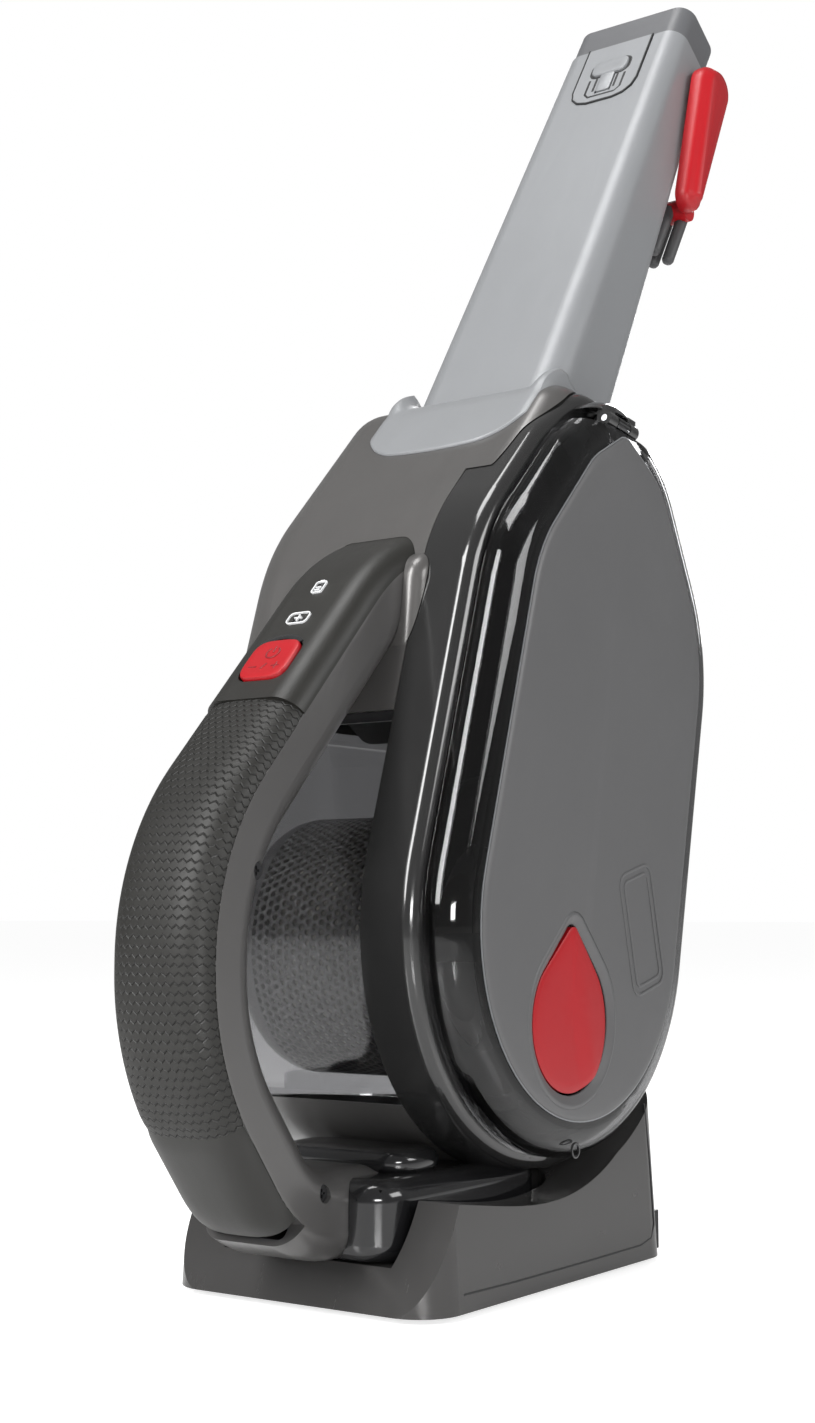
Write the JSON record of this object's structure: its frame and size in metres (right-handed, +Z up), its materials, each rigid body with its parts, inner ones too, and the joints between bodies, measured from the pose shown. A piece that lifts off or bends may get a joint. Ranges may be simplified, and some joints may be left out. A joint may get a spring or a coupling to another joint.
{
  "type": "handheld vacuum",
  "caption": "cordless handheld vacuum with loop handle, clear side-opening dust bowl, long nozzle with sliding crevice tool and flip-up brush, standing in its charging base",
  "frame": {"origin": "on the floor under the centre of the charging base", "axes": "+Z up, +X towards the nozzle, handle at -X, opening side door at -Y"},
  "size_m": [0.2849, 0.1016, 0.4487],
  "materials": {
    "hood_grey": "satin metallic grey",
    "base_grey": "satin dark metallic grey",
    "handle_grey": "satin dark grey",
    "nozzle_grey": "fine satin light grey",
    "tool_grey": "satin mid grey",
    "red_plastic": "semi gloss red",
    "grip_black": "soft-touch black with embossed pattern",
    "black_plastic": "black",
    "black_gloss": "gloss black",
    "frame_black": "gloss near-black",
    "smoked_clear": "clear smoked polycarbonate",
    "panel_grey": "fine satin grey",
    "white_print": "light-pipe white",
    "mesh_grey": "perforated dark grey",
    "filter_paper": "pleated filter cloth",
    "rubber_black": "soft black",
    "steel": "plain steel",
    "brass": "plated contact",
    "copper_core": "laminated rotor with windings",
    "cell_wrap": "shrink wrap",
    "board_green": "circuit board"
  },
  "bodies": {
    "base": {"base_shell": "base_grey", "base_plate": "black_plastic", "base_feet": "rubber_black", "rear_tabs": "black_plastic", "charging_jack": "black_plastic", "base_board": "board_green", "contact_springs": "steel"},
    "pin_left": {"contact_pin_left": "brass"},
    "pin_right": {"contact_pin_right": "brass"},
    "door": {"door_cover": "smoked_clear", "door_panel": "panel_grey", "latch_bezel": "panel_grey", "latch_pin": "steel"},
    "latch": {"door_latch": "red_plastic"},
    "crevice": {"crevice_tool": "tool_grey"},
    "release": {"crevice_button": "nozzle_grey"},
    "brush": {"brush_yoke": "red_plastic", "bristle_rods": "rubber_black"},
    "power": {"power_button": "red_plastic"},
    "rotor": {"motor_shaft": "steel", "fan_impeller": "black_plastic", "motor_rotor": "copper_core"},
    "flap": {"inlet_flap": "rubber_black"},
    "vacuum": {"charging_pads": "brass", "front_hood": "hood_grey", "rear_cover": "hood_grey", "bulkhead": "black_plastic", "side_frame": "frame_black", "dust_bowl": "smoked_clear", "lower_housing": "handle_grey", "bowl_catch": "black_gloss", "docking_foot": "black_gloss", "handle_left": "handle_grey", "handle_right": "handle_grey", "control_panel": "grip_black", "grip_cover": "grip_black", "lower_pad": "grip_black", "indicator_lenses": "white_print", "control_board": "board_green", "power_switch": "black_plastic", "battery_cells": "cell_wrap", "cell_links": "steel", "handle_screws": "steel", "nozzle": "nozzle_grey", "nozzle_collar": "nozzle_grey", "latch_panel": "nozzle_grey", "yoke_pivots": "tool_grey", "inlet_duct": "black_plastic", "prefilter_mesh": "mesh_grey", "filter_plate": "black_plastic", "pleated_filter": "filter_paper", "filter_cap": "black_plastic", "filter_gasket": "rubber_black", "fan_housing": "black_plastic", "motor_can": "steel", "motor_bushes": "brass", "motor_mount": "rubber_black", "door_tip_cap": "smoked_clear", "door_hinge_pin": "steel", "door_seal": "rubber_black"}
  },
  "joints": [
    {"name": "undock", "type": "slide", "parent": "base", "child": "vacuum", "axis": [0, 0, 1], "range_m": [0, 0.12]},
    {"name": "door_hinge", "type": "hinge", "parent": "vacuum", "child": "door", "pos_m": [0.0425, -0.0474, 0.262], "axis": [-0.9945, 0, 0.1045], "range_deg": [0, 95]},
    {"name": "latch_press", "type": "hinge", "parent": "door", "child": "latch", "pos_m": [0.006, -0.0454, 0.1005], "axis": [1, 0, 0], "range_deg": [0, 8], "stiffness_Nm_per_rad": 0.4},
    {"name": "crevice_slide", "type": "slide", "parent": "vacuum", "child": "crevice", "axis": [0.5299, 0, 0.848], "range_m": [0, 0.06]},
    {"name": "release_press", "type": "slide", "parent": "vacuum", "child": "release", "axis": [0.848, 0, -0.5299], "range_m": [0, 0.0012], "stiffness_N_per_m": 600},
    {"name": "brush_flip", "type": "hinge", "parent": "vacuum", "child": "brush", "pos_m": [0.14624, 0, 0.41331], "axis": [0, -1, 0], "range_deg": [0, 150]},
    {"name": "power_press", "type": "slide", "parent": "vacuum", "child": "power", "axis": [0.7314, 0, -0.682], "range_m": [0, 0.0012], "stiffness_N_per_m": 800},
    {"name": "rotor_spin", "type": "hinge", "parent": "vacuum", "child": "rotor", "pos_m": [0.064, 0, 0.199], "axis": [0, 1, 0], "continuous": true},
    {"name": "flap_swing", "type": "hinge", "parent": "vacuum", "child": "flap", "pos_m": [-0.02259, 0, 0.17331], "axis": [0, 1, 0], "range_deg": [0, 50], "stiffness_Nm_per_rad": 0.03},
    {"name": "pin_left_press", "type": "slide", "parent": "base", "child": "pin_left", "axis": [0, 0, -1], "range_m": [0, 0.0014], "stiffness_N_per_m": 300},
    {"name": "pin_right_press", "type": "slide", "parent": "base", "child": "pin_right", "axis": [0, 0, -1], "range_m": [0, 0.0014], "stiffness_N_per_m": 300}
  ]
}
